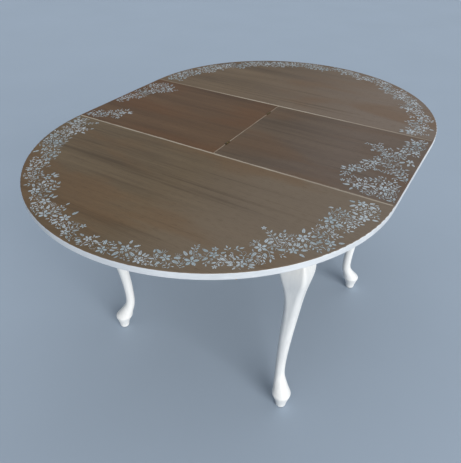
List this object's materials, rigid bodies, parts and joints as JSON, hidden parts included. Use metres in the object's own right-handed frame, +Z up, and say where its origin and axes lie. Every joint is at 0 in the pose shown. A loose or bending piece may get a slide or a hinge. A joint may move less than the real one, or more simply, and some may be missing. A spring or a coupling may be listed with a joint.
{
  "type": "extending dining table",
  "caption": "Drawn-out round dining table with half-round sliding ends, a hinged folding leaf between them and cabriole legs under a square apron frame.",
  "frame": {"origin": "on the floor under the middle of the table", "axes": "+X along the seams of the top, +Y along the way the table draws out, +Z up"},
  "size_m": [1, 1.4018, 0.7528],
  "materials": {
    "top_wood": "brown stain under satin varnish, with a pale stencilled border",
    "white_paint": "white satin paint over wood",
    "inner_wood": "bare planed wood",
    "brass": "aged brass",
    "steel": "zinc-plated steel",
    "felt": "pressed felt"
  },
  "bodies": {
    "base": {"apron_far": "white_paint", "apron_left": "white_paint", "apron_near": "white_paint", "apron_right": "white_paint", "corner_block_far_left": "inner_wood", "corner_block_far_right": "inner_wood", "corner_block_near_left": "inner_wood", "corner_block_near_right": "inner_wood", "corner_block_screws": "steel", "foot_pads": "felt", "guide_rail_left": "inner_wood", "guide_rail_right": "inner_wood", "guide_tongues": "inner_wood", "leg_bolts": "steel", "leg_far_left": "white_paint", "leg_far_right": "white_paint", "leg_near_left": "white_paint", "leg_near_right": "white_paint", "leg_nuts": "steel", "leg_washers": "steel", "well_bearer_far": "inner_wood", "well_bearer_near": "inner_wood"},
    "far_end": {"far_end_board": "top_wood", "far_end_button_screws": "steel", "far_end_lipping": "white_paint", "far_end_runner_left": "inner_wood", "far_end_runner_right": "inner_wood", "far_end_runner_screws": "steel", "far_end_runner_stops": "inner_wood"},
    "leaf_left": {"leaf_hinge_pins": "brass", "leaf_left_batten": "inner_wood", "leaf_left_batten_screws": "steel", "leaf_left_board": "top_wood", "leaf_left_hinge_plates": "brass", "leaf_left_hinge_screws": "steel", "leaf_left_lipping": "white_paint"},
    "leaf_right": {"leaf_right_batten": "inner_wood", "leaf_right_batten_screws": "steel", "leaf_right_board": "top_wood", "leaf_right_hinge_plates": "brass", "leaf_right_hinge_screws": "steel", "leaf_right_lipping": "white_paint"},
    "near_end": {"near_end_board": "top_wood", "near_end_button_screws": "steel", "near_end_lipping": "white_paint", "near_end_runner_left": "inner_wood", "near_end_runner_right": "inner_wood", "near_end_runner_screws": "steel", "near_end_runner_stops": "inner_wood"},
    "turn_button_far_left": {"turn_button_far_left": "inner_wood"},
    "turn_button_far_right": {"turn_button_far_right": "inner_wood"},
    "turn_button_near_left": {"turn_button_near_left": "inner_wood"},
    "turn_button_near_right": {"turn_button_near_right": "inner_wood"}
  },
  "joints": [
    {"name": "near_end_slide", "type": "slide", "parent": "base", "child": "near_end", "axis": [0, -1, 0], "range_m": [0, 0.06]},
    {"name": "far_end_slide", "type": "slide", "parent": "base", "child": "far_end", "axis": [0, 1, 0], "range_m": [0, 0.06]},
    {"name": "leaf_lift", "type": "slide", "parent": "base", "child": "leaf_left", "axis": [0, 0, 1], "range_m": [0, 0.25]},
    {"name": "leaf_fold", "type": "hinge", "parent": "leaf_left", "child": "leaf_right", "pos_m": [0, 0, 0.75035], "axis": [0, -1, 0], "range_deg": [0, 180]},
    {"name": "button_near_right_turn", "type": "hinge", "parent": "near_end", "child": "turn_button_near_right", "pos_m": [0.42, -0.223, 0.7277], "axis": [0, 0, -1], "range_deg": [0, 90]},
    {"name": "button_near_left_turn", "type": "hinge", "parent": "near_end", "child": "turn_button_near_left", "pos_m": [-0.42, -0.223, 0.7277], "axis": [0, 0, 1], "range_deg": [0, 90]},
    {"name": "button_far_right_turn", "type": "hinge", "parent": "far_end", "child": "turn_button_far_right", "pos_m": [0.42, 0.223, 0.7277], "axis": [0, 0, 1], "range_deg": [0, 90]},
    {"name": "button_far_left_turn", "type": "hinge", "parent": "far_end", "child": "turn_button_far_left", "pos_m": [-0.42, 0.223, 0.7277], "axis": [0, 0, -1], "range_deg": [0, 90]}
  ]
}
